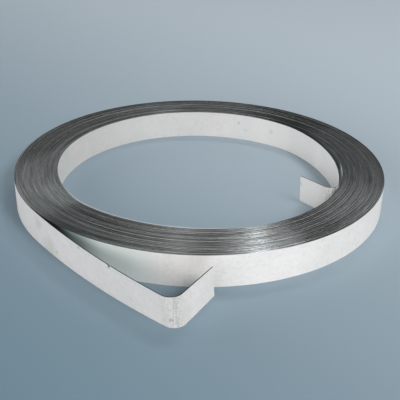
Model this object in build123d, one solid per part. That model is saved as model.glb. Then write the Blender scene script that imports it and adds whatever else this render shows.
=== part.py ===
from build123d import *
from math import copysign, degrees, sqrt
import os

# A roll of steel strapping that lies flat, in millimetres.
# The axis of its bore is Z and the floor is Z = 0. Seen from above, the strap winds outwards anticlockwise.

# The strap
strap_width = 30.0
strap_thickness = 0.8

# The winding
bore_radius = 141.0
turn_count = 49
turn_slack = 0.05  # air between one turn and the next
turn_lift = 0.35  # how far the proudest slit edges stand out of line with the flush ones
lift_shares = (0, 0, 0, 1, 0.5)  # height of the corner between each turn and the next, repeated
flush_turns = 2  # turns at the bore, and at the outside, whose edges are flush
root_gap = 0.3  # a free end parts from the roll where the slit beside it is this wide

# The flatter stretch of the bore's wall, where the turns have sprung apart behind the outer free end
slack_direction = -102.0
slack_depth = 4.4  # how far its middle stands into the bore
slack_flattening = 24.0  # by which the radius of the stretch is larger than the bore's
slack_blend_radius = 100.0  # at each end of the stretch

# The outer free end: a long flat run off the roll, a fold back towards it and a straight tail
outer_leave_angle = -143.0
outer_run_length = 174.5
outer_run_radius_low = 660.0  # at the strap's lower edge
outer_run_radius_high = 820.0  # at its upper edge, which therefore leans outwards
outer_fold_radius = 10.0
outer_fold_angle_low = 98.1
outer_fold_angle_high = 99.4
outer_tip_gap = 11.4  # between the end of the tail and the roll

# The inner free end: it bows off the wall of the bore, comes back to it, and folds into the bore
inner_leave_angle = 52.0
inner_bow_share = 0.73  # radius of the first bend, as a share of the bore's radius
inner_bow_angle = 20.9
inner_fold_place_low = -18.6  # direction of the fold from the roll's axis
inner_fold_place_high = -20.8
inner_fold_radius = 8.3
inner_fold_angle_low = 127.9
inner_fold_angle_high = 124.2
inner_fold_gap = 0.3  # between the back of the fold and the wall of the bore
inner_tail_length = 29.4

turn_pitch = strap_thickness + turn_slack
outer_radius = bore_radius + turn_count * turn_pitch
inner_bow_radius = inner_bow_share * bore_radius
half_thickness = strap_thickness / 2


def polar(radius, angle):
    """Point at a distance from the roll's axis, in the direction of an angle in degrees."""
    return Vector(radius, 0).rotate(Axis.Z, angle)


def turn_between(first, second):
    """Anticlockwise angle from one direction to another, in degrees."""
    return second.get_signed_angle(first)


def corner_lift(corner):
    """Height by which the corner between two turns stands off the level of the flush turns."""
    if corner <= flush_turns or corner >= turn_count - flush_turns:
        return 0
    return turn_lift * lift_shares[corner % len(lift_shares)]


def wound_core():
    """The turns under the outermost one and behind the innermost one, turned as one ring."""
    corners = range(flush_turns - 1, turn_count - flush_turns + 2)
    lower = [(bore_radius + corner * turn_pitch, corner_lift(corner)) for corner in corners]
    upper = [(radius, strap_width + lift) for radius, lift in reversed(lower)]
    section = make_face(Plane.XZ * Polyline(*lower, *upper, close=True))
    return revolve(section, Axis.Z)


def slit_length(tight_radius, open_radius):
    """How far two arcs that start side by side run before they are one root gap apart."""
    return sqrt(2 * root_gap / (1 / tight_radius - 1 / open_radius))


def outer_start():
    """Where the middle line of the strap leaves the roll, and its heading there."""
    return polar(outer_radius - half_thickness, outer_leave_angle), polar(1, outer_leave_angle + 90)


def inner_start():
    """Where the middle line of the strap leaves the wall of the bore, and its heading there."""
    return polar(bore_radius + half_thickness, inner_leave_angle), polar(1, inner_leave_angle - 90)


def outer_turn():
    """The outermost turn: it grows by one pitch to the step where the free end leaves it."""
    wall_radius = outer_radius - turn_pitch
    start, heading = outer_start()
    root_length = slit_length(wall_radius, outer_run_radius_low)
    root = JernArc(start, heading, outer_run_radius_low, degrees(root_length / outer_run_radius_low))
    root_turn = turn_between(start, root @ 1)
    level_half = CenterArc((0, 0), wall_radius, outer_leave_angle + root_turn, 180 - root_turn)
    centre = polar(turn_pitch / 2, outer_leave_angle)
    growing_half = CenterArc(centre, wall_radius + turn_pitch / 2, outer_leave_angle + 180, 180)
    step = Line(growing_half @ 1, start)
    root_end = Line(root @ 1, level_half @ 0)
    plan = make_face([level_half, growing_half, step, root, root_end])
    return extrude(plan - Circle(outer_radius - flush_turns * turn_pitch), strap_width)


def with_slack_wall(bore):
    """Plan of the bore with its flatter stretch, which is blended into the round of the wall."""
    centre = polar(slack_flattening + slack_depth, slack_direction + 180)
    bore &= Pos(centre) * Circle(bore_radius + slack_flattening)
    stretch = bore.edges().sort_by_distance(polar(bore_radius - slack_depth, slack_direction))[0]
    return bore.face().fillet_2d(slack_blend_radius, stretch.vertices())


def inner_turn():
    """The innermost turn, slack on one side, with the step that its free end leaves in the bore's wall."""
    start, heading = inner_start()
    root_length = slit_length(inner_bow_radius, bore_radius + turn_pitch)
    root = JernArc(start, heading, inner_bow_radius, -degrees(root_length / inner_bow_radius))
    centre = polar(turn_pitch / 2, inner_leave_angle)
    root_turn = turn_between(root @ 1 - centre, start - centre)
    level_half = CenterArc((0, 0), bore_radius, inner_leave_angle, 180)
    growing_half = CenterArc(centre, bore_radius + turn_pitch / 2, inner_leave_angle + 180, 180 - root_turn)
    root_end = Line(growing_half @ 1, root @ 1)
    step = Line(start, level_half @ 0)
    bore = with_slack_wall(make_face([level_half, growing_half, root_end, root, step]))
    return extrude(Circle(bore_radius + flush_turns * turn_pitch) - bore, strap_width)


def bent_line(start, heading, bends, offset):
    """Arcs of one face of the strap, offset to the left of its middle line."""
    here = start + heading.rotate(Axis.Z, 90) * offset
    arcs = []
    for radius, angle in bends:
        arcs.append(JernArc(here, heading, radius - copysign(offset, offset * angle), angle))
        here = arcs[-1] @ 1
        heading = heading.rotate(Axis.Z, angle)
    return arcs


def strap_face_line(start, heading, bends, tail_length, offset):
    """Edges of one face of the strap: its bends, then its straight tail."""
    arcs = bent_line(start, heading, bends, offset)
    return [*arcs, PolarLine(arcs[-1] @ 1, tail_length, direction=arcs[-1] % 1)]


def strap_plan(start, heading, bends, tail_length):
    """Outline of one slit edge of a free end."""
    left = strap_face_line(start, heading, bends, tail_length, half_thickness)
    right = strap_face_line(start, heading, bends, tail_length, -half_thickness)
    return make_face([*left, Line(left[-1] @ 1, right[-1] @ 1), *right, Line(right[0] @ 0, left[0] @ 0)])


def free_end(low_plan, high_plan):
    """A free end of the strap, ruled from the outline of its lower edge to that of its upper edge."""
    return loft([low_plan, Pos(0, 0, strap_width) * high_plan], ruled=True)


def outer_bends(run_radius, fold_angle):
    """Radius and angle of the long run and of the fold, along one edge of the outer free end."""
    return [(run_radius, degrees(outer_run_length / run_radius)), (outer_fold_radius, fold_angle)]


def outer_tail_length():
    """Length of the tail, which comes back from the fold to within the tip gap of the roll."""
    fold = bent_line(*outer_start(), outer_bends(outer_run_radius_low, outer_fold_angle_low), 0)[-1]
    reach = CenterArc((0, 0), outer_radius + outer_tip_gap, 0, 360)
    return PolarLine(fold @ 1, reach, direction=fold % 1).length


def outer_plan(run_radius, fold_angle):
    """Outline of one edge of the outer free end."""
    return strap_plan(*outer_start(), outer_bends(run_radius, fold_angle), outer_tail_length())


def inner_plan(fold_place, fold_angle):
    """Outline of one edge of the inner free end, whose second bend is the one that meets the fold."""
    start, heading = inner_start()
    bow = JernArc(start, heading, inner_bow_radius, -inner_bow_angle)
    inward = polar(1, inner_leave_angle - 180 - inner_bow_angle)
    fold_reach = bore_radius + turn_pitch / 2 - inner_fold_gap - half_thickness
    fold_centre = polar(fold_reach - inner_fold_radius, fold_place)
    away = bow @ 1 - fold_centre
    return_radius = (inner_fold_radius**2 - away.dot(away)) / (2 * (away.dot(inward) + inner_fold_radius))
    return_centre = bow @ 1 + inward * return_radius
    return_angle = turn_between(-inward, fold_centre - return_centre)
    bends = [(inner_bow_radius, -inner_bow_angle), (return_radius, return_angle)]
    return strap_plan(start, heading, [*bends, (inner_fold_radius, -fold_angle)], inner_tail_length)


outer_end = free_end(
    outer_plan(outer_run_radius_low, outer_fold_angle_low),
    outer_plan(outer_run_radius_high, outer_fold_angle_high),
)
inner_end = free_end(
    inner_plan(inner_fold_place_low, inner_fold_angle_low),
    inner_plan(inner_fold_place_high, inner_fold_angle_high),
)
steel_strap = wound_core() + [outer_turn(), inner_turn(), outer_end, inner_end]

os.makedirs("parts", exist_ok=True)
export_step(steel_strap, "parts/steel_strap.step")
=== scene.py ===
# %% [markdown]
# # A roll of steel strapping
# One zinc-coated steel strap, 30 mm wide and about 50 m long, is wound on itself and lies flat.
# Its outer end runs off the roll and is folded back, and its inner end is folded into the bore.
# The CAD model has the wound turns as one ring. Here the strap is wound in full, in the place that the frame
# gives, so nothing is fitted by eye. All lengths are metres, and the axis of the bore is Z.

# %% Load the frame
import bpy
import cmath
from math import cos, degrees, radians, sin, tan
from mathutils import Matrix, Vector


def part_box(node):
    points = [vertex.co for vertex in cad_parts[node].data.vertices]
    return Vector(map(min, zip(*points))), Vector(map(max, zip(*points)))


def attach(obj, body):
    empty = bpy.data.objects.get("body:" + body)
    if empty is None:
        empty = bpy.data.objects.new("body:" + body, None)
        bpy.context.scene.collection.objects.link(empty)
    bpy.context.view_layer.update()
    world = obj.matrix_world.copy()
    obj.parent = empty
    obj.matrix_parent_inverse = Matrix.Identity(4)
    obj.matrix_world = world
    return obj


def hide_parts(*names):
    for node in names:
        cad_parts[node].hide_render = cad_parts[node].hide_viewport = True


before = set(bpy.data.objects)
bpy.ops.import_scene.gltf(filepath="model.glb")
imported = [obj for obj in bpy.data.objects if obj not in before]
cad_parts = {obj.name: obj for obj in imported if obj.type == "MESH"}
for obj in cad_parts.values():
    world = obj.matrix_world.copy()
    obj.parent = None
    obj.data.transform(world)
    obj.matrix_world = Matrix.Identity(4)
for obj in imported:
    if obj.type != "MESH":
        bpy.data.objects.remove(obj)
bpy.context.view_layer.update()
roll_low, roll_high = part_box("steel_strap")
print("roll's box in mm:", [round(1000 * size, 2) for size in roll_high - roll_low])

# %% [markdown]
# ## The sizes of the strap
# The winding is a spiral, so a few sizes give every turn of it: the strap's section, the bore, the number of
# turns and the directions in which the two free ends leave them. One size is measured on the CAD model: the
# height that it has above the strap's own width is how far the proudest turns stand out of line.

# %% The sizes of the winding
strap_width = 0.030
strap_thickness = 0.0008
edge_rounding = 0.0001
turn_count = 49
turn_pitch = 0.00085
turn_lift = roll_high.z - roll_low.z - strap_width
bore_radius = 0.141
outer_radius = bore_radius + turn_count * turn_pitch
inner_leave_angle = 52.0
outer_leave_angle = -143.0

last_half_turn = outer_leave_angle + 180
spiral_turns = turn_count - 1 + (last_half_turn - inner_leave_angle) / 360
spiral_start_radius = bore_radius + strap_thickness / 2
spiral_end_radius = outer_radius - turn_pitch - strap_thickness / 2
print("turns:", round(spiral_turns + 0.5, 3), "- outer radius in mm:", round(1000 * outer_radius, 2))

# %% [markdown]
# Behind the outer free end the innermost turns have sprung into the bore. Their wall is flatter there: it
# follows a circle that is a little larger than the bore and stands off its axis.

# %% The slack stretch of the bore
slack_direction = -102.0
slack_depth = 0.0044
slack_flattening = 0.024
slack_blend = 0.0015

slack_away = -cmath.rect(slack_flattening + slack_depth, radians(slack_direction))
slack_centre = Vector((slack_away.real, slack_away.imag, 0))
print("centre of the flatter wall, in mm:", [round(1000 * part, 1) for part in slack_centre])

# %% [markdown]
# ## The free ends
# A free end is springy flat stock: it keeps to long gentle arcs, and it turns sharply only where it was folded.
# A freehand spline would round the folds and waver between them, so each end is a chain of tangent arcs and
# a straight tail. A complex number is a handy point of a plan: multiplying it by a unit number turns it.

# %% Tangent arcs as points
def arc_points(start, heading, radius, angle, steps):
    """Points after the first along an arc, and the heading at its end. A positive angle turns left."""
    turn = radians(angle) / steps
    points = []
    for _ in range(steps):
        start += heading * cmath.rect(2 * radius * sin(abs(turn) / 2), turn / 2)
        heading *= cmath.rect(1, turn)
        points.append(start)
    return points, heading


def bent_line(start, heading, bends, tail_length, tail_steps):
    """Points of a middle line that follows bends of (radius, angle, steps) and ends in a straight tail."""
    points = [start]
    for radius, angle, steps in bends:
        arc, heading = arc_points(points[-1], heading, radius, angle, steps)
        points += arc
    tail_start = points[-1]
    points += [tail_start + heading * tail_length * (step + 1) / tail_steps for step in range(tail_steps)]
    return points


def in_mm(point):
    """A point of the plan, rounded for printing."""
    return [round(1000 * point.real, 1), round(1000 * point.imag, 1)]


quarter_turn_left, _ = arc_points(0, 1, 0.010, 90, 4)
print("a quarter turn to the left on 10 mm ends at, in mm:", in_mm(quarter_turn_left[-1]))

# %% [markdown]
# ### The outer end
# The last half turn grows by one pitch, so that the strap leaves the roll on top of the turn below it. Then come
# the long run, the fold and the tail. The upper edge of the run follows a flatter arc than the lower edge,
# which makes the strap lean outwards, as it does once it is bent by hand.

# %% The outer free end
outer_run_length = 0.1745
outer_run_radius_low, outer_run_radius_high = 0.660, 0.820
outer_fold_radius = 0.010
outer_fold_angle_low, outer_fold_angle_high = 98.1, 99.4
outer_tail_length = 0.0432
half_turn_steps, run_steps, outer_fold_steps, outer_tail_steps = 90, 120, 20, 16


def outer_line(run_radius, fold_angle):
    """Middle line of one edge of the outer end: the last half turn, the run, the fold and the tail."""
    outwards = cmath.rect(1, radians(last_half_turn))
    bends = [
        (spiral_end_radius + turn_pitch / 2, 180, half_turn_steps),
        (run_radius, degrees(outer_run_length / run_radius), run_steps),
        (outer_fold_radius, fold_angle, outer_fold_steps),
    ]
    return bent_line(spiral_end_radius * outwards, outwards * 1j, bends, outer_tail_length, outer_tail_steps)


outer_low = outer_line(outer_run_radius_low, outer_fold_angle_low)
outer_high = outer_line(outer_run_radius_high, outer_fold_angle_high)
print("cut end of the outer free end, in mm:", in_mm(outer_low[-1]))

# %% [markdown]
# ### The inner end
# The inner end springs off the wall, comes back to it and is folded there. The arc that brings it back isn't
# measured: it is the one that touches both the first bow and the fold's own circle, and its radius follows.

# %% The inner free end
inner_bow_share = 0.73  # of the bore's radius
inner_bow_radius = inner_bow_share * bore_radius
inner_bow_angle = 20.9
inner_fold_radius = 0.0083
inner_fold_place_low, inner_fold_place_high = -18.6, -20.8
inner_fold_angle_low, inner_fold_angle_high = 127.9, 124.2
inner_fold_gap = 0.0003
inner_tail_length = 0.0294
bow_steps, return_steps, inner_fold_steps, inner_tail_steps = 24, 60, 24, 12


def inner_line(fold_place, fold_angle):
    """Middle line of one edge of the inner free end, from the wall of the bore to the cut end."""
    start = cmath.rect(spiral_start_radius, radians(inner_leave_angle))
    heading = cmath.rect(1, radians(inner_leave_angle - 90))
    bow, onward = arc_points(start, heading, inner_bow_radius, -inner_bow_angle, bow_steps)
    inward = onward * -1j
    fold_reach = bore_radius + turn_pitch / 2 - inner_fold_gap - strap_thickness / 2
    fold_centre = cmath.rect(fold_reach - inner_fold_radius, radians(fold_place))
    away = bow[-1] - fold_centre
    away_inward = (away * inward.conjugate()).real
    return_radius = (inner_fold_radius**2 - abs(away) ** 2) / (2 * (away_inward + inner_fold_radius))
    to_fold = fold_centre - (bow[-1] + inward * return_radius)
    bends = [
        (inner_bow_radius, -inner_bow_angle, bow_steps),
        (return_radius, degrees(cmath.phase(to_fold / -inward)), return_steps),
        (inner_fold_radius, -fold_angle, inner_fold_steps),
    ]
    return bent_line(start, heading, bends, inner_tail_length, inner_tail_steps)


inner_low = inner_line(inner_fold_place_low, inner_fold_angle_low)
inner_high = inner_line(inner_fold_place_high, inner_fold_angle_high)
print("cut end of the inner free end, in mm:", in_mm(inner_low[-1]))

# %% [markdown]
# ## The guide for both ends
# The two middle lines become one mesh of bare edges, which the node tree will weld to the spiral. What the
# strap does at each point goes with them as attributes, which are a good way to hand a node tree what it can't
# work out for itself. One of them is how sharply the strap is creased: most in the middle of a fold, and less
# and less beside it.

# %% The creases of the folds
inner_crease, outer_crease = 2.4, 1.3
crease_steps = 14  # from the middle of a fold to where its crease has faded


def creases_along(count):
    """How sharply the strap is creased at each point of the guide."""
    inner_middle = len(inner_low) - inner_tail_steps - inner_fold_steps // 2
    outer_middle = count - outer_tail_steps - outer_fold_steps // 2
    creases = [0.0] * count
    for middle, deepest in ((inner_middle, inner_crease), (outer_middle, outer_crease)):
        for step in range(1 - crease_steps, crease_steps):
            creases[middle + step] = deepest * (1 - abs(step) / crease_steps)
    return creases


creases = creases_along(len(inner_low) + len(outer_low))
print("creased points:", sum(crease > 0 for crease in creases), "of", len(creases))

# %% [markdown]
# The other attributes are how far the upper edge leans out, which turn a point counts as, how deep a nick is,
# and whether the strap is free there or lies close beside the roll.

# %% Bare edges with attributes
nick_place = 0.118  # along the outer run
nick_depth = 0.0009
inner_beside_steps, outer_beside_steps = 62, 70


def guide_mesh():
    """Bare edges along both free ends, with what the strap does at each point as attributes."""
    low = inner_low + outer_low
    leans = [upper - lower for lower, upper in zip(low, inner_high + outer_high)]
    count, outer_start = len(low), len(inner_low)
    run_start = outer_start + half_turn_steps
    edges = [(i, i + 1) for i in range(count - 1) if i + 1 != outer_start]
    mesh = bpy.data.meshes.new("free_ends")
    mesh.from_pydata([(point.real, point.imag, 0) for point in low], edges, [])
    lean_vectors = mesh.attributes.new("lean", "FLOAT_VECTOR", "POINT").data
    lean_vectors.foreach_set("vector", [part for lean in leans for part in (lean.real, lean.imag, 0)])
    nicks = [0.0] * count
    nicks[run_start + round(run_steps * nick_place / outer_run_length)] = nick_depth
    near_run = range(run_start, run_start + outer_beside_steps)
    values = {
        "turn": [0.0 if i < outer_start else spiral_turns for i in range(count)],
        "free": [float(i < outer_start or i >= run_start) for i in range(count)],
        "beside": [float(i < inner_beside_steps or i in near_run) for i in range(count)],
        "gap": [1.0] * count,
        "nick": nicks,
        "crease": creases,
    }
    for name, numbers in values.items():
        mesh.attributes.new(name, "FLOAT", "POINT").data.foreach_set("value", numbers)
    return mesh


strap = bpy.data.objects.new("wound_strap", guide_mesh())
bpy.context.scene.collection.objects.link(strap)
print("guide points:", len(strap.data.vertices), "- edges:", len(strap.data.edges))

# %% [markdown]
# ## The winding, made by Geometry Nodes
# The shape follows a rule, so a node tree makes it: a flat spiral, joined to the free ends, with the strap's
# section swept along it. Separate rings would be simpler, but no ring has an end, and the eye finds the seam
# where a strap should leave the roll. Each size is a named input, so other sizes wind another roll.

# %% The tree and its inputs
def new_group(name, kind, inputs, outputs):
    """A node group with its named sockets, and its input and output nodes."""
    tree = bpy.data.node_groups.new(name, kind)
    for direction, sockets in (("INPUT", inputs), ("OUTPUT", outputs)):
        for label, socket_type in sockets:
            tree.interface.new_socket(label, in_out=direction, socket_type="NodeSocket" + socket_type)
    return tree, tree.nodes.new("NodeGroupInput").outputs, tree.nodes.new("NodeGroupOutput").inputs


winding, given, wound = new_group(
    "wind_strap",
    "GeometryNodeTree",
    [
        ("Free ends", "Geometry"),
        ("Turns", "Float"),
        ("Points per turn", "Int"),
        ("Inner radius", "Float"),
        ("Outer radius", "Float"),
        ("Start angle", "Float"),
        ("Strap width", "Float"),
        ("Strap thickness", "Float"),
        ("Edge rounding", "Float"),
        ("Turn lift", "Float"),
        ("Bore radius", "Float"),
        ("Slack centre", "Vector"),
        ("Slack wall radius", "Float"),
        ("Slack blend", "Float"),
        ("Seed", "Float"),
        ("Broad faces", "Material"),
        ("Slit edges", "Material"),
    ],
    [("Strap", "Geometry")],
)
print("inputs of the winding:", len(winding.interface.items_tree) - 1)

# %% [markdown]
# Every tree is built from the same two moves: add a node, and feed its inputs. An input is given by its name
# or its number, and it is fed by another node's output or by a plain value. The first node tells how far along
# the spiral a point is, from 0 at the bore to 1 at the outside.

# %% A first node
def add(tree, kind, inputs=None, **settings):
    """Adds a node, applies its settings, and links or sets the inputs that are given."""
    node = tree.nodes.new(kind)
    for name, value in settings.items():
        setattr(node, name, value)
    for name, value in (inputs or {}).items():
        socket = node.inputs[name]
        if isinstance(value, bpy.types.NodeSocket):
            tree.links.new(value, socket)
        else:
            socket.default_value = value
    return node


share_of_spiral = add(winding, "GeometryNodeSplineParameter").outputs["Factor"]
print("first node:", share_of_spiral.node.name)

# %% [markdown]
# ### The spiral
# Blender has a spiral of its own, which starts at the inner end and grows evenly. Its points store the turn
# that they belong to, counted from the bore, because the height and the finishes differ from turn to turn.

# %% The spiral and its turns
def calc(tree, operation, first, second=0.0, third=0.0):
    """Output of a Math node."""
    return add(tree, "ShaderNodeMath", {0: first, 1: second, 2: third}, operation=operation).outputs[0]


def stored(tree, geometry, name, value, data_type="FLOAT", domain="POINT"):
    """Geometry with a value stored on it under a name."""
    settings = {"data_type": data_type, "domain": domain}
    inputs = {"Geometry": geometry, "Name": name, "Value": value}
    return add(tree, "GeometryNodeStoreNamedAttribute", inputs, **settings).outputs[0]


def numbered_spiral(tree, given, share):
    """The spiral, turned to its start, with the number of its turn at each point."""
    sizes = {
        "Resolution": given["Points per turn"],
        "Rotations": given["Turns"],
        "Start Radius": given["Inner radius"],
        "End Radius": given["Outer radius"],
        "Height": 0.0,
        "Reverse": True,
    }
    spiral = add(tree, "GeometryNodeCurveSpiral", sizes).outputs[0]
    angle = add(tree, "ShaderNodeCombineXYZ", {"Z": given["Start angle"]}).outputs[0]
    turned = add(tree, "GeometryNodeTransform", {"Geometry": spiral, "Rotation": angle}).outputs[0]
    return stored(tree, turned, "turn", calc(tree, "MULTIPLY", share, given["Turns"]))


spiral = numbered_spiral(winding, given, share_of_spiral)
print("nodes with the spiral:", len(winding.nodes))

# %% [markdown]
# ### The slack
# Where the flatter wall stands inside the round bore, the turns are pushed inwards to meet it. The innermost
# turn goes the whole way and the outermost doesn't move, so small gaps open between the turns, as they do when
# strapping slackens. A smooth maximum blends the flat stretch into the round.

# %% The slack turns
def vector_calc(tree, operation, first, second=None, third=None, scale=None):
    """Output of a Vector Math node: a number for a length, distance or dot product, and else a vector."""
    operands = {0: first, 1: second, 2: third, "Scale": scale}
    inputs = {name: value for name, value in operands.items() if value is not None}
    node = add(tree, "ShaderNodeVectorMath", inputs, operation=operation)
    return node.outputs["Value" if operation in ("LENGTH", "DISTANCE", "DOT_PRODUCT") else "Vector"]


def sprung(tree, given, share):
    """Offset that springs the turns inwards at the slack, most at the bore and not at all outside."""
    outwards = vector_calc(tree, "NORMALIZE", add(tree, "GeometryNodeInputPosition").outputs[0])
    wall = vector_calc(tree, "SCALE", outwards, scale=given["Bore radius"])
    to_wall = vector_calc(tree, "DISTANCE", wall, given["Slack centre"])
    beyond = calc(tree, "SUBTRACT", to_wall, given["Slack wall radius"])
    excess = calc(tree, "SMOOTH_MAX", beyond, 0.0, given["Slack blend"])
    inwards = calc(tree, "MULTIPLY", excess, calc(tree, "SUBTRACT", share, 1.0))
    return vector_calc(tree, "SCALE", outwards, scale=inwards)


offset = sprung(winding, given, share_of_spiral)
slackened = add(winding, "GeometryNodeSetPosition", {"Geometry": spiral, "Offset": offset}).outputs[0]
print("nodes with the slack:", len(winding.nodes))

# %% [markdown]
# ### The gap beside a free end
# Little light gets into the wedge between the roll and a free end, and the zinc paints that shade into its colour.
# How wide the wedge is can be measured while the strap is still a line: it is the distance to the nearest free
# edge, less one thickness, and the zinc reads it later to paint the shade. The inner end grows out of the first
# half turn, so no wedge is counted there.

# %% The width of the gap
def named(tree, name, data_type="FLOAT"):
    """A value read back by its name."""
    return add(tree, "GeometryNodeInputNamedAttribute", {"Name": name}, data_type=data_type).outputs[0]


def gap_beside(tree, given):
    """Width of the gap between a wound turn and the free end beside it."""
    beside = calc(tree, "GREATER_THAN", named(tree, "beside"), 0.5)
    parts = add(tree, "GeometryNodeSeparateGeometry", {"Geometry": given["Free ends"], "Selection": beside})
    nearest = add(tree, "GeometryNodeProximity", {0: parts.outputs[0]}, target_element="EDGES").outputs["Distance"]
    first_half_turn = calc(tree, "LESS_THAN", named(tree, "turn"), 0.5)
    return calc(tree, "ADD", calc(tree, "SUBTRACT", nearest, given["Strap thickness"]), first_half_turn)


gapped = stored(winding, slackened, "gap", gap_beside(winding, given))
print("nodes with the gap:", len(winding.nodes))

# %% [markdown]
# ### One path
# A strap is one piece, so its path has to be one curve. The spiral and the guide meet end to end: as bare edges
# they are welded where they touch, and the welded edges become a curve again. Its normal is kept upright,
# so that the section can't twist, and its points store how far along the strap they are.

# %% From cut end to cut end
weld_reach = 0.1  # of the strap's thickness


def welded_path(tree, given, spiral):
    """One curve from cut end to cut end: the spiral welded to both free ends."""
    edges = add(tree, "GeometryNodeCurveToMesh", {"Curve": spiral}).outputs[0]
    joined = add(tree, "GeometryNodeJoinGeometry", {"Geometry": edges})
    tree.links.new(given["Free ends"], joined.inputs[0])
    reach = calc(tree, "MULTIPLY", given["Strap thickness"], weld_reach)
    welded = add(tree, "GeometryNodeMergeByDistance", {"Geometry": joined.outputs[0], "Distance": reach}).outputs[0]
    curve = add(tree, "GeometryNodeMeshToCurve", {"Mesh": welded}).outputs[0]
    upright = add(tree, "GeometryNodeSetCurveNormal", {"Curve": curve}, mode="Z_UP").outputs[0]
    return stored(tree, upright, "along", add(tree, "GeometryNodeSplineParameter").outputs["Length"])


path = welded_path(winding, given, gapped)
print("nodes with the path:", len(winding.nodes))

# %% [markdown]
# ### The section
# Strapping is slit from sheet, so its section is a thin oblong whose corners are hardly rounded. Its points
# store three things that the sweep would lose: how high they are on the strap, how far round the section,
# and whether they are on the face that looks to the bore.

# %% The section of the strap
def strap_section(tree, given):
    """The rounded section, whose points know their height, their way round it and their face."""
    sizes = {"Width": given["Strap thickness"], "Height": given["Strap width"]}
    oblong = add(tree, "GeometryNodeCurvePrimitiveQuadrilateral", sizes).outputs[0]
    rounding = {"Curve": oblong, "Count": 1, "Radius": given["Edge rounding"]}
    rounded = add(tree, "GeometryNodeFilletCurve", rounding, mode="POLY").outputs[0]
    across = add(tree, "ShaderNodeSeparateXYZ", {0: add(tree, "GeometryNodeInputPosition").outputs[0]}).outputs
    height = calc(tree, "MULTIPLY_ADD", given["Strap width"], 0.5, calc(tree, "MULTIPLY", across["Y"], -1.0))
    section = stored(tree, rounded, "girth", add(tree, "GeometryNodeSplineParameter").outputs["Length"])
    section = stored(tree, section, "height", height)
    return stored(tree, section, "inner_face", calc(tree, "LESS_THAN", across["X"], 0.0))


section = strap_section(winding, given)
print("nodes with the section:", len(winding.nodes))

# %% [markdown]
# ### Turns that aren't flush
# The strap wanders sideways as it is wound, so the ends of a roll are never flat. A one-dimensional noise over
# the number of the turn lifts it by a few tenths of a millimetre. The noise varies slowly, so that neighbours
# stand in steps, as on the real roll, and it fades out at both ends of the strap, which lie on the floor.

# %% The rise of each turn
wander_pace = 1.37  # noise per turn
wander_low, wander_high = 0.3, 0.7
settling_start, settling_end = 0.2, 1.6  # turns from either end of the winding


def ramp(tree, value, start, end, shape="LINEAR"):
    """Goes from 0 at the start value to 1 at the end value, and stays there. The start may be the larger one."""
    inputs = {"Value": value, "From Min": start, "From Max": end}
    return add(tree, "ShaderNodeMapRange", inputs, interpolation_type=shape).outputs[0]


def turn_rise(tree, given):
    """Height by which the winding stands off the floor, which changes from turn to turn."""
    turn = named(tree, "turn")
    place = calc(tree, "MULTIPLY_ADD", turn, wander_pace, given["Seed"])
    noise = {"W": place, "Scale": 1.0, "Detail": 2.0, "Roughness": 0.6}
    wander = add(tree, "ShaderNodeTexNoise", noise, noise_dimensions="1D").outputs[0]
    lift = calc(tree, "MULTIPLY", given["Turn lift"], ramp(tree, wander, wander_low, wander_high))
    after_start = ramp(tree, turn, settling_start, settling_end)
    before_end = ramp(tree, calc(tree, "SUBTRACT", given["Turns"], turn), settling_start, settling_end)
    return calc(tree, "MULTIPLY", lift, calc(tree, "MULTIPLY", after_start, before_end))


rise = turn_rise(winding, given)
print("nodes with the rise:", len(winding.nodes))

# %% [markdown]
# ### The sweep
# Curve to Mesh carries the section along the path and closes both cut ends. Each point is then moved: outwards
# by its share of the lean, up by half the width and the rise, and down by the nick if it is at the upper edge.
# A UV map of the distance along the strap and the way round it lets the finishes follow every turn.

# %% The swept strap
def swept_strap(tree, given, path, section, rise):
    """The section swept along the path, then leaned, lifted, nicked and mapped."""
    solid = {"Curve": path, "Profile Curve": section, "Fill Caps": True}
    swept = add(tree, "GeometryNodeCurveToMesh", solid).outputs[0]
    share = calc(tree, "DIVIDE", named(tree, "height"), given["Strap width"])
    lean = vector_calc(tree, "SCALE", named(tree, "lean", "FLOAT_VECTOR"), scale=share)
    nick = calc(tree, "MULTIPLY", named(tree, "nick"), calc(tree, "GREATER_THAN", share, 0.5))
    to_middle = calc(tree, "MULTIPLY_ADD", given["Strap width"], 0.5, rise)
    up = add(tree, "ShaderNodeCombineXYZ", {"Z": calc(tree, "SUBTRACT", to_middle, nick)}).outputs[0]
    moved = {"Geometry": swept, "Offset": vector_calc(tree, "ADD", lean, up)}
    placed = add(tree, "GeometryNodeSetPosition", moved).outputs[0]
    strap_uv = add(tree, "ShaderNodeCombineXYZ", {"X": named(tree, "along"), "Y": named(tree, "girth")}).outputs[0]
    return stored(tree, placed, "UVMap", strap_uv, "FLOAT2", "CORNER"), share


swept, share_of_width = swept_strap(winding, given, path, section, rise)
print("nodes with the sweep:", len(winding.nodes))

# %% [markdown]
# The coating is put on before the sheet is slit, so the broad faces are zinc and the slit edges aren't. The
# faces within a hundredth of the width of either edge get the edges' material.

# %% Two materials
slit_edge_share = 0.49  # of the width, from its middle


def finished_strap(tree, given, swept, share):
    """The strap with zinc on its broad faces and bare steel on its slit edges."""
    from_middle = calc(tree, "ABSOLUTE", calc(tree, "SUBTRACT", share, 0.5))
    edge = calc(tree, "GREATER_THAN", from_middle, slit_edge_share)
    whole = add(tree, "GeometryNodeRealizeInstances", {"Geometry": swept}).outputs[0]
    zinc = add(tree, "GeometryNodeSetMaterial", {"Geometry": whole, "Material": given["Broad faces"]}).outputs[0]
    bare = {"Geometry": zinc, "Selection": edge, "Material": given["Slit edges"]}
    return add(tree, "GeometryNodeSetMaterial", bare).outputs[0]


winding.links.new(finished_strap(winding, given, swept, share_of_width), wound["Strap"])
print("nodes of the whole winding:", len(winding.nodes))

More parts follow.
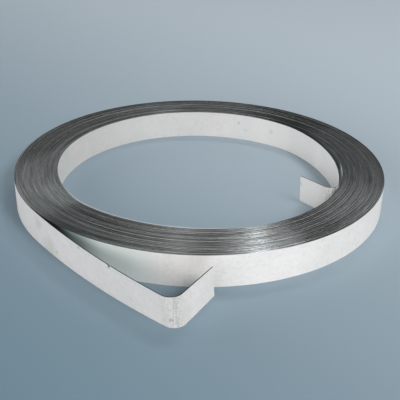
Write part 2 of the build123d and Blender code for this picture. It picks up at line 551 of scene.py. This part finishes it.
# %% [markdown]
# ## Finishes
# The strap shows two surfaces. Its broad faces are zinc, which is pale, dull and faintly cloudy. Its slit edges
# were cut through the coating, so they are bare dark steel with burrs and scratches that run along the strap.
# Both vary in soft irregular patches, which are noise with its contrast raised. As both materials use them,
# they are a node group, which is built once and placed in each with its own values.

# %% The clouds group
def clouds_group():
    """Node group: a soft cloudy mask over given coordinates, spread about a middle of one half."""
    inputs = [("Vector", "Vector"), ("Detail", "Float"), ("Roughness", "Float"), ("Contrast", "Float")]
    tree, given, result = new_group("clouds", "ShaderNodeTree", inputs, [("Mask", "Float")])
    settings = {name: given[name] for name in ("Vector", "Detail", "Roughness")}
    noise = add(tree, "ShaderNodeTexNoise", {"Scale": 1.0, **settings})
    centred = calc(tree, "SUBTRACT", noise.outputs[0], 0.5)
    spread = calc(tree, "MULTIPLY_ADD", centred, given["Contrast"], 0.5)
    tree.links.new(calc(tree, "MINIMUM", calc(tree, "MAXIMUM", spread, 0.0), 1.0), result["Mask"])
    return tree


clouds = clouds_group()
print("clouds group:", len(clouds.nodes), "nodes")

# %% [markdown]
# The single spots of the strap are where the photograph shows them. A spot is a distance from its centre, and
# noise added to that distance gives it a ragged rim.

# %% The spot group
spot_fineness = 700.0  # ragged marks in a metre
spot_rim = (1.0, 0.2)  # from clean to full, in shares of the radius


def eased(tree, value, start, end):
    """A ramp that starts and ends softly."""
    return ramp(tree, value, start, end, "SMOOTHSTEP")


def spot_group():
    """Node group: a soft round mask about a place, with a ragged rim."""
    inputs = [("Vector", "Vector"), ("Centre", "Vector"), ("Radius", "Float"), ("Ragged", "Float")]
    tree, given, result = new_group("spot", "ShaderNodeTree", inputs, [("Mask", "Float")])
    noise = add(tree, "ShaderNodeTexNoise", {"Vector": given["Vector"], "Scale": spot_fineness, "Detail": 3.0})
    apart = vector_calc(tree, "DISTANCE", given["Vector"], given["Centre"])
    share = calc(tree, "DIVIDE", apart, given["Radius"])
    shaken = calc(tree, "MULTIPLY_ADD", calc(tree, "SUBTRACT", noise.outputs[0], 0.5), given["Ragged"], share)
    tree.links.new(eased(tree, shaken, *spot_rim), result["Mask"])
    return tree


spot = spot_group()
print("spot group:", len(spot.nodes), "nodes")

# %% [markdown]
# ## The zinc of the broad faces
# The coating is pale and dull. It shows large clouds, a fine mottle and a grain, faint lines that the rollers left
# along the strap, and long greenish patches, which are partly its own tint and partly a painted reflection of the
# strap's long waves. Where the strap is folded, the coating has crazed in fine stripes across it. A photograph of
# zinc would repeat over 50 m of strap, and noise never does, so the material is made of nodes. It starts with its
# shader alone, which the next steps feed.

# %% An empty material
def new_material(name):
    """An empty material's tree with its shader, which is already linked to the output."""
    material = bpy.data.materials.new(name)
    material.use_nodes = True
    return material, material.node_tree, material.node_tree.nodes["Principled BSDF"]


zinc, zinc_tree, zinc_shader = new_material("zinc_coating")
print("material:", zinc.name, "with", len(zinc_tree.nodes), "nodes")

# %% [markdown]
# ### The patterns of zinc
# A table describes the patterns. Each one says what it follows, how many marks it has in a metre along and
# across that, and how detailed, rough and contrasty its clouds are. Few marks along and many across give
# streaks. On the zinc all of them follow the strap, by the UV map that the winding gave it.

# %% The patterns of the zinc
def mask_of(tree, group, inputs):
    """Mask of a node group that is placed in a material with the given inputs."""
    return add(tree, "ShaderNodeGroup", inputs, node_tree=group).outputs["Mask"]


def wound_value(tree, name):
    """A value that the winding stored on the strap."""
    return add(tree, "ShaderNodeAttribute", attribute_name=name).outputs["Fac"]


def along_strap(tree, along, across):
    """Coordinates along the strap and round its section."""
    uv = add(tree, "ShaderNodeUVMap", uv_map="UVMap").outputs[0]
    return vector_calc(tree, "MULTIPLY", uv, (along, across, 1.0))


def patterned(tree, patterns):
    """Mask of each pattern in a table, by its name."""
    masks = {}
    for name, (follow, marks, (detail, roughness, contrast)) in patterns.items():
        inputs = {"Vector": follow(tree, *marks), "Detail": detail, "Roughness": roughness, "Contrast": contrast}
        masks[name] = mask_of(tree, clouds, inputs)
    return masks


zinc_patterns = {
    "patches": (along_strap, (35.0, 35.0), (5.0, 0.75, 2.8)),
    "mottle": (along_strap, (260.0, 260.0), (4.0, 0.75, 3.0)),
    "grain": (along_strap, (900.0, 900.0), (2.0, 0.6, 1.4)),
    "lines": (along_strap, (60.0, 900.0), (2.0, 0.6, 1.4)),
    "painted_sheen": (along_strap, (22.0, 1.76), (2.0, 0.6, 3.0)),
    "stripes": (along_strap, (1400.0, 120.0), (3.0, 0.7, 3.0)),
    "crazing": (along_strap, (800.0, 800.0), (3.0, 0.7, 4.0)),
    "painted_fold_shade_bands": (along_strap, (420.0, 15.0), (2.0, 0.6, 4.5)),
    "waves": (along_strap, (14.0, 1.4), (1.0, 0.5, 1.0)),
}
zinc_marks = patterned(zinc_tree, zinc_patterns)
zinc_marks["crease"] = wound_value(zinc_tree, "crease")
print("marks on the zinc:", ", ".join(zinc_marks))

# %% [markdown]
# ### The dull clouds
# The colour goes from pale to dull in the patches, the mottle, the lines and the creases. One sum of all four does
# it, because separate layers would hide each other. The inner free end is hardly dulled, so it stays paler than the
# rest of the strap.

# %% The dulled zinc
zinc_pale = (0.905, 0.878, 0.868)
zinc_dull = (0.640, 0.622, 0.615)
zinc_dulling = {"patches": 0.38, "mottle": 0.32, "lines": 0.15, "crease": 0.20}
dulled_turns = (-0.05, 0.10)  # from the inner end


def weighted(tree, weights, marks, base=0.0):
    """A base value plus each named mark times its weight."""
    total = base
    for name, weight in weights.items():
        total = calc(tree, "MULTIPLY_ADD", marks[name], weight, total)
    return total


def mixed(tree, factor, first, second):
    """Mix of two colours, each a value or an output."""
    node = add(tree, "ShaderNodeMix", {"Factor": factor}, data_type="RGBA")
    for socket, colour in ((node.inputs[6], first), (node.inputs[7], second)):
        if isinstance(colour, bpy.types.NodeSocket):
            tree.links.new(colour, socket)
        else:
            socket.default_value = (*colour, 1)
    return node.outputs[2]


def dulled_zinc(tree, marks):
    """The pale coating, dulled in clouds, but hardly on the inner free end."""
    dulling = calc(tree, "MINIMUM", weighted(tree, zinc_dulling, marks), 1.0)
    dulling = calc(tree, "MULTIPLY", dulling, eased(tree, wound_value(tree, "turn"), *dulled_turns))
    return mixed(tree, dulling, zinc_pale, zinc_dull)


dulled_coating = dulled_zinc(zinc_tree, zinc_marks)
print("nodes of the dulled zinc:", len(zinc_tree.nodes))

# %% [markdown]
# ### The painted sheen and the painted shade of the bore
# The face that looks to the bore has more of the green sheen, which is partly painted reflection, than the face
# that looks out. The values that the winding stored tell the two apart. The left half of the bore has painted
# shade: it is a little darker.

# %% The clean zinc with painted sheen and painted shade
# green of the patches, partly tint and partly painted reflection; the wedge's painted shade uses it too
painted_green_sheen_and_shade = (0.66, 0.73, 0.71)
painted_sheen_outside, painted_sheen_inside = 0.20, 0.50
# painted shade on the face that looks to the bore, in its left half
painted_bore_shade = (0.0, 0.0, 0.0)
painted_bore_shade_depth = 0.23
painted_bore_shade_side = (0.16, 0.0)  # from right to left


def object_place(tree):
    """Place on the roll, in metres."""
    return add(tree, "ShaderNodeTexCoord").outputs["Object"]


def clean_zinc(tree, marks, dulled):
    """The coating without dirt: dulled, greenish in long patches that are partly painted reflection, and with
    painted shade in the left of the bore.
    """
    inner_face = wound_value(tree, "inner_face")
    painted_sheen_depth = calc(tree, "MULTIPLY_ADD", inner_face, painted_sheen_inside - painted_sheen_outside, painted_sheen_outside)
    colour = mixed(tree, calc(tree, "MULTIPLY", marks["painted_sheen"], painted_sheen_depth), dulled, painted_green_sheen_and_shade)
    from_left = add(tree, "ShaderNodeSeparateXYZ", {0: object_place(tree)}).outputs["X"]
    # painted shade on the left half of the bore's face
    dark = calc(tree, "MULTIPLY", inner_face, eased(tree, from_left, *painted_bore_shade_side))
    return mixed(tree, calc(tree, "MULTIPLY", dark, painted_bore_shade_depth), colour, painted_bore_shade)


clean_coating = clean_zinc(zinc_tree, zinc_marks, dulled_coating)
print("nodes of the clean zinc:", len(zinc_tree.nodes))

# %% [markdown]
# ### Dirt and painted shade
# The strap was handled, so fine specks sit in its duller patches, and single spots are where the photograph shows
# them. One of these, beside the outer tail, is a painted shadow of the tail. The folds are crazed: stripes broken
# up by a finer pattern. The sharp fold in the bore also has greenish bands across it, which are painted shade. Dirt
# and the painted shadow are counted up as one mask and mixed in once, so that spots may overlap.

# %% The zinc with dirt and painted shade
# colour of the stains, and of the painted shadow beside the outer tail
stain_and_painted_shadow = (0.30, 0.28, 0.265)
painted_green_shade = (0.20, 0.27, 0.26)
speck_threshold = (0.78, 1.0)
dirt_weights = {"specks": 0.16, "folds": 0.9}
most_crazing = 1.3
sharp_creases = (1.0, 1.8)
spots_and_painted_shadow = [  # centre, radius and depth
    ((-0.0689, -0.1980, 0.0285), 0.0022, 0.9),
    ((-0.0966, -0.1692, 0.0280), 0.0018, 0.6),
    ((-0.1401, -0.1174, 0.0200), 0.0100, 0.22),
    ((-0.1290, -0.1330, 0.0040), 0.0160, 0.20),
    ((-0.1204, -0.1417, 0.0065), 0.0030, 0.35),
    ((-0.0192, -0.2370, 0.0080), 0.0025, 0.5),
    ((0.0447, 0.1337, 0.0200), 0.0022, 0.6),
    ((0.0522, 0.1310, 0.0125), 0.0018, 0.4),
    ((0.0814, 0.1151, 0.0170), 0.0040, 0.25),
    # painted shadow of the outer tail on the wall beside it
    ((0.0000, -0.1818, 0.0270), 0.0140, 0.16),
    ((0.0988, -0.0290, 0.0215), 0.0030, 0.5),
]


def zinc_with_dirt_and_painted_shade(tree, marks, clean):
    """The coating with fine specks, single spots and a painted shadow, crazed folds, and greenish bands of painted
    shade on the sharp fold.
    """
    specks = calc(tree, "MULTIPLY", eased(tree, marks["mottle"], *speck_threshold), marks["patches"])
    crazed = calc(tree, "MULTIPLY", marks["stripes"], marks["crazing"])
    folds = calc(tree, "MULTIPLY", calc(tree, "MINIMUM", marks["crease"], most_crazing), crazed)
    dirt_and_painted_shadow = weighted(tree, dirt_weights, {"specks": specks, "folds": folds})
    place = object_place(tree)
    for centre, radius, depth in spots_and_painted_shadow:
        inputs = {"Vector": place, "Centre": centre, "Radius": radius, "Ragged": 1.0}
        dirt_and_painted_shadow = calc(tree, "MULTIPLY_ADD", mask_of(tree, spot, inputs), depth, dirt_and_painted_shadow)
    stained_and_shadowed = mixed(tree, calc(tree, "MINIMUM", dirt_and_painted_shadow, 1.0), clean, stain_and_painted_shadow)
    # painted shade: greenish bands across the sharp fold in the bore
    painted_fold_shade_mask = calc(tree, "MULTIPLY", eased(tree, marks["crease"], *sharp_creases), marks["painted_fold_shade_bands"])
    return mixed(tree, painted_fold_shade_mask, stained_and_shadowed, painted_green_shade)


coating_with_dirt_and_painted_shade = zinc_with_dirt_and_painted_shade(zinc_tree, zinc_marks, clean_coating)
print("spots:", len(spots_and_painted_shadow), "- nodes of the dirty zinc:", len(zinc_tree.nodes))

# %% [markdown]
# ### Painted shade in the wedge beside a free end
# In the wedge between the roll and a free end, the zinc goes from nearly black where the wedge closes, through a
# dark green, to its own colour. Shadow alone left it too pale, because soft lamps reach into it from many sides. So
# the width of the gap, which the winding stored, paints shade into the coating there: the black and the greens are
# painted shade.

# %% Painted shade on the zinc in the wedge
# painted shade: the wedge's colours from where it closes to where it opens
painted_gap_shade = (0.016, 0.020, 0.020)
closed_gap = (0.0025, 0.0070)  # from dark to green
narrow_gap = (0.0045, 0.016)  # from there to a pale green
wide_gap = (0.014, 0.060)  # from that to the open coating


def zinc_with_painted_wedge_shade(tree, open_coating):
    """The coating with painted shade, dark where the gap to a free end is narrow."""
    gap = wound_value(tree, "gap")
    deep = mixed(tree, eased(tree, gap, *closed_gap), painted_gap_shade, painted_green_shade)
    near = mixed(tree, eased(tree, gap, *wide_gap), painted_green_sheen_and_shade, open_coating)
    return mixed(tree, eased(tree, gap, *narrow_gap), deep, near)


zinc_tree.links.new(zinc_with_painted_wedge_shade(zinc_tree, coating_with_dirt_and_painted_shade), zinc_shader.inputs["Base Color"])
print("nodes of the zinc's colour:", len(zinc_tree.nodes))

# %% [markdown]
# ### The gloss of zinc
# Weathered zinc is between a metal and a chalky crust, so it is only partly metallic. It is a little rougher in
# its patches, and the strap is never quite even: it has long shallow waves, rolled lines and a fine grain.

# %% The zinc's gloss and relief
zinc_metallic = 0.3
zinc_roughness, patch_roughness = 0.46, 0.12
zinc_relief = {"waves": 6.0, "lines": 0.4, "grain": 1.0}
relief_strength, relief_height = 0.25, 0.0002

zinc_shader.inputs["Metallic"].default_value = zinc_metallic
rough = calc(zinc_tree, "MULTIPLY_ADD", zinc_marks["patches"], patch_roughness, zinc_roughness)
zinc_tree.links.new(rough, zinc_shader.inputs["Roughness"])
relief = weighted(zinc_tree, zinc_relief, zinc_marks)
bump_inputs = {"Strength": relief_strength, "Distance": relief_height, "Height": relief}
bump = add(zinc_tree, "ShaderNodeBump", bump_inputs).outputs[0]
zinc_tree.links.new(bump, zinc_shader.inputs["Normal"])
print("nodes of the zinc:", len(zinc_tree.nodes))

# %% [markdown]
# ## The bare steel of the slit edges
# Slitting tears a narrow burred edge, and the edges of 49 turns side by side look like brushed steel. They are
# streaked round the roll and speckled. Streaks that follow the roll run over several turns, by the direction
# and the distance from its axis. Two patterns follow the strap, because a turn keeps its own tone for a while.

# %% The patterns of the slit edges
def around_roll(tree, along, across):
    """Coordinates round the roll and across its turns."""
    flat = vector_calc(tree, "MULTIPLY", object_place(tree), (1.0, 1.0, 0.0))
    radius = calc(tree, "MULTIPLY", vector_calc(tree, "LENGTH", flat), across)
    radial = add(tree, "ShaderNodeCombineXYZ", {"Z": radius}).outputs[0]
    return vector_calc(tree, "MULTIPLY_ADD", vector_calc(tree, "NORMALIZE", flat), (along, along, 0.0), radial)


def through_space(tree, fineness):
    """Coordinates that are equally fine in every direction."""
    return vector_calc(tree, "MULTIPLY", object_place(tree), (fineness, fineness, fineness))


steel, steel_tree, steel_shader = new_material("slit_edge_steel")
steel_patterns = {
    "bands": (around_roll, (3.0, 350.0), (3.0, 0.7, 3.0)),
    "lines": (around_roll, (2.0, 1000.0), (3.0, 0.7, 3.4)),
    "streaks": (around_roll, (10.0, 900.0), (2.0, 0.7, 3.4)),
    "ripples": (around_roll, (8.0, 800.0), (2.0, 0.7, 1.0)),
    "turns": (along_strap, (7.0, 0.0), (3.0, 0.6, 3.4)),
    "burrs": (along_strap, (150.0, 0.0), (3.0, 0.6, 1.0)),
    "grain": (through_space, (800.0,), (2.0, 0.6, 3.0)),
    "hues": (through_space, (14.0,), (2.0, 0.5, 3.0)),
}
steel_marks = patterned(steel_tree, steel_patterns)
steel_place = object_place(steel_tree)
steel_sides = add(steel_tree, "ShaderNodeSeparateXYZ", {0: steel_place}).outputs
steel_turn = wound_value(steel_tree, "turn")
print("marks on the slit edges:", ", ".join(steel_marks))

# %% [markdown]
# ### The streaks
# A weighted sum of the patterns makes the tone, from dark to light steel. Separate colours for separate
# patterns would show as stripes, but a sum lets them run into each other. The light steel is a little bluer in
# some parts of the ring than in others.

# %% The streaked steel
steel_dark = (0.024, 0.033, 0.033)
steel_light = (0.372, 0.400, 0.385)
steel_blued = (0.362, 0.380, 0.396)
steel_tone = {"bands": 0.385, "lines": 0.275, "streaks": 0.165, "turns": 0.242, "grain": 0.308}
steel_tone_base = -0.294


def streaked_steel(tree, marks):
    """Bare steel from dark to light in fine streaks, and bluer in soft parts."""
    tone = calc(tree, "MAXIMUM", weighted(tree, steel_tone, marks, steel_tone_base), 0.0)
    return mixed(tree, tone, steel_dark, mixed(tree, marks["hues"], steel_light, steel_blued))


streaked = streaked_steel(steel_tree, steel_marks)
print("nodes of the streaks:", len(steel_tree.nodes))

# %% [markdown]
# ### The painted highlight on the rim
# At the front left of the bore, the edge of the innermost turn catches the light as a thin pale line, and that
# highlight is painted into its colour. It is found by its place and by the number of its turn, and it is less of a
# mirror than the steel beside it.

# %% The painted highlight on the rim of the bore
# painted highlight: the pale colour of the innermost turn's edge where it catches the light
painted_rim_highlight = (0.72, 0.74, 0.74)
rim_highlight_metallic = 0.3
rim_highlight_turns = (1.3, 1.0)
rim_highlight_front = (-0.05, -0.10)
rim_highlight_left = (0.05, 0.01)


def rim_highlight_mask(tree, sides, turn):
    """Mask of the painted highlight on a stretch of the innermost turn."""
    stretch = calc(tree, "MULTIPLY", eased(tree, sides["Y"], *rim_highlight_front), eased(tree, sides["X"], *rim_highlight_left))
    return calc(tree, "MULTIPLY", stretch, eased(tree, turn, *rim_highlight_turns))


rim_highlight = rim_highlight_mask(steel_tree, steel_sides, steel_turn)
# the painted highlight is mixed into the steel's colour here
highlighted_steel = mixed(steel_tree, rim_highlight, streaked, painted_rim_highlight)
less_metal = calc(steel_tree, "MULTIPLY_ADD", rim_highlight, rim_highlight_metallic - 1.0, 1.0)
steel_tree.links.new(less_metal, steel_shader.inputs["Metallic"])
print("nodes with the rubbed rim:", len(steel_tree.nodes))

# %% [markdown]
# ### Painted shade and darker turns on the slit edges
# The slit edges are darker at the back and in two stretches of the outer rim, at the front left and at the back
# left, and this darkening is painted shade. They are darkest on the outermost turns at the back. Where two of them
# meet, the deeper one counts. The thin upper edges of the free ends are nearly black in the photograph.

# %% The slit edges with painted shade
steel_black = (0.010, 0.012, 0.013)
# painted shade at the back of the ring, and darker outermost turns
back_reach, back_shade_depth = (-0.06, 0.10), 0.53
outer_turns, outer_reach, outer_turn_darkening = (42.0, 48.0), (-0.08, 0.02), 0.94
# painted shade on two stretches of the outer rim
painted_rim_shade = [  # direction, reach along it, and depth
    ((-0.50, -0.866, 0.0), (0.130, 0.155), 0.26),
    ((-0.74, 0.67, 0.0), (0.105, 0.140), 0.82),
]
outer_end_turns = (0.0, 1.0)
# on the inner end's bow the near-black edge is painted shade of the wedge
bow_reach = (0.01, 0.04)


def edge_darkening_depth(tree, place, sides, turn):
    """How much the slit edges are darkened: painted shade at the back and in two stretches of the rim, and the
    outermost turns.
    """
    outermost = calc(tree, "MULTIPLY", eased(tree, turn, *outer_turns), eased(tree, sides["Y"], *outer_reach))
    depth = calc(tree, "MULTIPLY", eased(tree, sides["Y"], *back_reach), back_shade_depth)
    depth = calc(tree, "MAXIMUM", depth, calc(tree, "MULTIPLY", outermost, outer_turn_darkening))
    for direction, reach, most in painted_rim_shade:
        stretch = eased(tree, vector_calc(tree, "DOT_PRODUCT", place, direction), *reach)
        depth = calc(tree, "MAXIMUM", depth, calc(tree, "MULTIPLY", stretch, most))
    return depth


def dark_free_edges(tree, sides, turn):
    """Mask of the outer free end's edges, and of the inner one's on the bow off the wall, where it is painted shade
    of the wedge.
    """
    dark = calc(tree, "MAXIMUM", eased(tree, turn, *outer_end_turns), eased(tree, sides["Y"], *bow_reach))
    return calc(tree, "MULTIPLY", wound_value(tree, "free"), dark)


# painted shade is mixed into the slit edges' colour here
edge_darkening = edge_darkening_depth(steel_tree, steel_place, steel_sides, steel_turn)
darkened_steel = mixed(steel_tree, edge_darkening, highlighted_steel, steel_black)
dark_ends = dark_free_edges(steel_tree, steel_sides, steel_turn)
steel_tree.links.new(mixed(steel_tree, dark_ends, darkened_steel, steel_black), steel_shader.inputs["Base Color"])
print("nodes of the steel's colour:", len(steel_tree.nodes))

# %% [markdown]
# ### Highlights across the turns
# Fine marks along the turns spread light across them, so a lamp shows as a bright sector of the ring and not as
# a spot. That is anisotropy: the tangent follows the strap, and a quarter turn lays the highlight across it.
# On its own the highlight would be too clean. Burrs tilt the surface a little, forwards and backwards along the
# strap, and most at the front, where single glints can be told apart.

# %% The steel's gloss and burrs
steel_roughness, turn_roughness = 0.24, 0.05
steel_anisotropy, quarter_turn = 0.95, 0.25
wavering_weights, wavering_base = {"ripples": 0.5, "burrs": 0.5}, -0.5
burr_tilt, glint_tilt = 0.12, 0.20
glint_reach = (-0.09, -0.13)


def burred_normal(tree, marks, sides, tangent):
    """The surface's normal, tilted along the strap by ripples and burrs."""
    wavering = weighted(tree, wavering_weights, marks, wavering_base)
    strength = calc(tree, "MULTIPLY_ADD", eased(tree, sides["Y"], *glint_reach), glint_tilt, burr_tilt)
    leaning = vector_calc(tree, "SCALE", tangent, scale=calc(tree, "MULTIPLY", wavering, strength))
    normal = add(tree, "ShaderNodeNewGeometry").outputs["Normal"]
    return vector_calc(tree, "NORMALIZE", vector_calc(tree, "ADD", normal, leaning))


tangent = add(steel_tree, "ShaderNodeTangent", direction_type="UV_MAP", uv_map="UVMap").outputs[0]
burred = burred_normal(steel_tree, steel_marks, steel_sides, tangent)
rough = calc(steel_tree, "MULTIPLY_ADD", steel_marks["turns"], turn_roughness, steel_roughness)
for name, value in (("Tangent", tangent), ("Normal", burred), ("Roughness", rough)):
    steel_tree.links.new(value, steel_shader.inputs[name])
steel_shader.inputs["Anisotropic"].default_value = steel_anisotropy
steel_shader.inputs["Anisotropic Rotation"].default_value = quarter_turn
print("nodes of the steel:", len(steel_tree.nodes))

# %% [markdown]
# ## Winding the strap
# A modifier runs the tree on the guide. Its inputs are set by their identifiers, the result is taken as a plain
# mesh, and the modifier goes. Left in place, it would run the tree again at every change.

# %% Wind it
points_per_turn = 180
wander_seed = 4.0


def wind(piece, tree, values):
    """Runs the tree on a piece with the given inputs, and leaves the result as its plain mesh."""
    modifier = piece.modifiers.new("winding", "NODES")
    modifier.node_group = tree
    for socket in tree.interface.items_tree:
        if socket.name in values:
            modifier[socket.identifier] = values[socket.name]
    shape = piece.evaluated_get(bpy.context.evaluated_depsgraph_get())
    mesh = bpy.data.meshes.new_from_object(shape)
    piece.modifiers.remove(modifier)
    piece.data = mesh
    mesh.name = piece.name


values = {
    "Turns": spiral_turns,
    "Points per turn": points_per_turn,
    "Inner radius": spiral_start_radius,
    "Outer radius": spiral_end_radius,
    "Start angle": radians(inner_leave_angle),
    "Strap width": strap_width,
    "Strap thickness": strap_thickness,
    "Edge rounding": edge_rounding,
    "Turn lift": turn_lift,
    "Bore radius": bore_radius,
    "Slack centre": slack_centre,
    "Slack wall radius": bore_radius + slack_flattening,
    "Slack blend": slack_blend,
    "Seed": wander_seed,
    "Broad faces": zinc,
    "Slit edges": steel,
}
wind(strap, winding, values)
strap.data.calc_loop_triangles()
print("triangles in the strap:", len(strap.data.loop_triangles))

# %% [markdown]
# The turns are made of short straight faces, which smooth shading rounds off. The cut ends and the slit edges
# are sharper than the limit and stay crisp. Then the finished piece stands for the CAD node, which stays hidden
# for the physics.

# %% The finished strap
smooth_limit = 30  # degrees

strap.data.shade_smooth()
strap.data.set_sharp_from_angle(angle=radians(smooth_limit))
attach(strap, "root")
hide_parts("steel_strap")
print("sharp edges:", sum(edge.use_edge_sharp for edge in strap.data.edges), "of", len(strap.data.edges))

# %% [markdown]
# ## The floor
# The roll lies on a plain blue-grey floor that is darker at the near left than at the far right. Lamps could make
# that fade, but they would light the roll unevenly too, so the floor has it in its colour, by the distance along
# one direction. Inside the roll the floor has a pool of painted light, which lightens the roll's shadow there. Seen
# by the camera and in reflections the floor is blue. The soft light that it throws back on the roll is a neutral
# grey, so that the zinc keeps its own tint.

# %% The floor
floor_near = (0.060, 0.132, 0.180)
floor_far = (0.368, 0.428, 0.476)
floor_bounce = (0.55, 0.56, 0.565)
floor_fade_direction = (0.72, 0.694, 0.0)
floor_fade_start, floor_fade_end = -0.635, 0.60
# a pool of painted light on the floor inside the roll, which lightens its shadow there
painted_bore_light, painted_bore_light_reach = 0.08, (0.26, 0.06)  # the floor is a little lighter inside the roll
floor_roughness = 0.9
half_floor = 6.0

floor_mesh = bpy.data.meshes.new("floor")
corners = [(x * half_floor, y * half_floor, 0) for x, y in ((-1, -1), (1, -1), (1, 1), (-1, 1))]
floor_mesh.from_pydata(corners, [], [(0, 1, 2, 3)])
floor = bpy.data.objects.new("floor", floor_mesh)
bpy.context.scene.collection.objects.link(floor)
floor_material, floor_tree, floor_shader = new_material("floor_paint")
floor_place = object_place(floor_tree)
slope = vector_calc(floor_tree, "DOT_PRODUCT", floor_place, floor_fade_direction)
fade = eased(floor_tree, slope, floor_fade_start, floor_fade_end)
painted_light_pool = eased(floor_tree, vector_calc(floor_tree, "LENGTH", floor_place), *painted_bore_light_reach)
lightness = calc(floor_tree, "MULTIPLY_ADD", painted_light_pool, painted_bore_light, fade)
seen_colour = mixed(floor_tree, lightness, floor_near, floor_far)
ray = add(floor_tree, "ShaderNodeLightPath").outputs
seen = calc(floor_tree, "MAXIMUM", ray["Is Camera Ray"], ray["Is Glossy Ray"])
floor_tree.links.new(mixed(floor_tree, seen, floor_bounce, seen_colour), floor_shader.inputs["Base Color"])
floor_shader.inputs["Roughness"].default_value = floor_roughness
floor.data.materials.append(floor_material)
print("floor in m:", 2 * half_floor)

# %% [markdown]
# ## The light
# A pale object needs soft light from several sides, or its walls go dark one after the other. The world gives a
# low even light. The key and the fill light the outer wall and the free ends from the front. The lamps at the
# sides and at the back light the inside of the bore, and each of them also sets how bright the slit edges
# are in the sector that mirrors it. Three small lamps high up behind the roll make the glints at its front.

# %% The lamps
world_colour = (1.0, 1.0, 1.0, 1.0)
world_strength = 0.19
lamps = [  # name, direction from the roll, distance, width and watts
    ("key_softbox", (0.58, -0.75, 0.80), 3.0, 0.8, 44),
    ("key_glow", (0.66, -0.75, 0.80), 3.0, 2.6, 34),
    ("fill_softbox", (-0.52, -0.80, 0.30), 3.0, 1.6, 43),
    ("left_softbox", (-0.90, 0.42, 0.25), 3.0, 1.8, 11),
    ("right_softbox", (0.88, 0.52, 0.40), 3.0, 2.6, 6),
    ("back_glow", (-0.14, 0.91, 0.35), 3.0, 1.2, 1.3),
    ("back_panel_left", (-0.80, 0.75, 0.45), 3.0, 2.6, 13),
    ("back_panel_right", (0.80, 0.73, 0.45), 3.0, 2.6, 11),
    ("glint_right", (0.160, 0.484, 0.866), 2.5, 0.12, 4),
    ("glint_left", (-0.065, 0.495, 0.866), 2.5, 0.08, 4),
    ("glow_right", (0.270, 0.470, 0.866), 2.5, 0.40, 6),
]

world = bpy.data.worlds.new("studio")
world.use_nodes = True
background = world.node_tree.nodes["Background"]
background.inputs["Color"].default_value = world_colour
background.inputs["Strength"].default_value = world_strength
bpy.context.scene.world = world


def softbox(name, direction, distance, width, watts):
    """A round lamp in a given direction from the roll, which looks at it."""
    lamp = bpy.data.lights.new(name, "AREA")
    lamp.shape = "DISK"
    lamp.size = width
    lamp.energy = watts
    lamp_object = bpy.data.objects.new(name, lamp)
    lamp_object.location = distance * Vector(direction).normalized()
    lamp_object.rotation_euler = (-Vector(direction)).to_track_quat("-Z", "Y").to_euler()
    bpy.context.scene.collection.objects.link(lamp_object)


for lamp in lamps:
    softbox(*lamp)
print("lamps:", len(lamps), "- watts:", round(sum(watts for *_, watts in lamps), 1))

# %% [markdown]
# ## The camera
# Nothing in the photograph says where its camera stood, but the rims of the roll are circles, and the way they
# are drawn out gives the viewpoint. The camera looks down by 25 degrees from 0.75 m away, tipped by two degrees
# and rolled by one. Its lens is given by the focal length in pixels of the photograph.

# %% The camera
view_elevation = 0.4391  # angles are in radians
view_pan, view_tilt, view_roll = 0.0008, -0.0345, 0.0179
view_distance = 0.7488
focal_pixels, frame_pixels = 736.1, 400
sensor_width = 36.0  # millimetres
look_height = strap_width / 2 + turn_lift / 4

camera_data = bpy.data.cameras.new("camera")
camera_data.sensor_width = sensor_width
camera_data.lens = sensor_width * focal_pixels / frame_pixels
camera = bpy.data.objects.new("camera", camera_data)
bpy.context.scene.collection.objects.link(camera)
bpy.context.scene.camera = camera
towards = Vector((0, cos(view_elevation), -sin(view_elevation)))
across_view = Vector((1, 0, 0))
ahead = (towards + tan(view_pan) * across_view + tan(view_tilt) * across_view.cross(towards)).normalized()
level = ahead.cross(Vector((0, 0, 1))).normalized()
rolled = cos(view_roll) * level + sin(view_roll) * level.cross(ahead)
turned = Matrix((rolled, rolled.cross(ahead), -ahead)).transposed().to_4x4()
eye = -view_distance * towards + Vector((0, 0, look_height))
camera.matrix_world = Matrix.Translation(eye) @ turned
print("lens in mm:", round(camera_data.lens, 1))

# %% [markdown]
# ## Colour
# The view transform is Standard, so a colour renders about as it is written.

# %% Finish
bpy.context.scene.view_settings.view_transform = "Standard"
bpy.context.view_layer.update()
